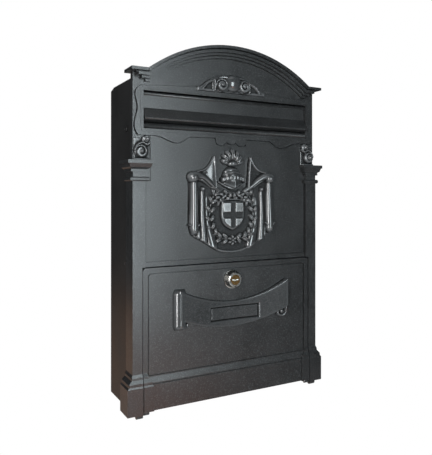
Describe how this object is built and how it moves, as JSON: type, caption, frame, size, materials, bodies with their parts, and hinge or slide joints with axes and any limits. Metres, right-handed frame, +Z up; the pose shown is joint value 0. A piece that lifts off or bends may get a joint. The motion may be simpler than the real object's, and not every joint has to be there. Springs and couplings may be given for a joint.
{
  "type": "wall letter box",
  "caption": "Wall-hung letter box with a cast classical front: a slot under an outward flap and a foot-hinged door with a cam lock.",
  "frame": {"origin": "middle of the four wall holes, on the back outer face", "axes": "+X to the viewer's right, +Y into the wall, +Z up"},
  "size_m": [0.26, 0.09, 0.4144],
  "materials": {
    "steel_coat": "fine-textured black powder coat, satin",
    "cast_coat": "fine-textured charcoal powder coat on a casting, satin",
    "bright_steel": "zinc plated",
    "black_screw": "black coated",
    "nickel": "bright nickel plate",
    "brass": "worn brass"
  },
  "bodies": {
    "box": {"body_wrap": "steel_coat", "side_cheek_left": "steel_coat", "side_cheek_right": "steel_coat", "front_frame": "cast_coat", "flap_rod": "bright_steel", "rod_clips": "bright_steel", "rod_clip_screws": "bright_steel", "frame_screws": "black_screw", "door_hinge_pin_left": "bright_steel", "door_hinge_pin_right": "bright_steel", "crest_plaque": "cast_coat", "crest_push_nuts": "bright_steel"},
    "flap": {"slot_flap": "cast_coat"},
    "door": {"door_panel": "cast_coat", "name_ribbon": "cast_coat", "ribbon_push_nuts": "bright_steel", "lock_housing": "nickel", "lock_washer": "bright_steel", "lock_nut": "bright_steel"},
    "lock": {"lock_plug": "brass", "lock_cam": "bright_steel", "cam_washer": "bright_steel", "cam_screw": "bright_steel"}
  },
  "joints": [
    {"name": "flap_hinge", "type": "hinge", "parent": "box", "child": "flap", "pos_m": [0, -0.0746, 0.1476], "axis": [-1, 0, 0], "range_deg": [0, 85]},
    {"name": "door_hinge", "type": "hinge", "parent": "box", "child": "door", "pos_m": [0, -0.082, -0.199], "axis": [1, 0, 0], "range_deg": [0, 90]},
    {"name": "lock_turn", "type": "hinge", "parent": "door", "child": "lock", "pos_m": [0, -0.08, -0.0623], "axis": [0, -1, 0], "range_deg": [0, 90]}
  ]
}
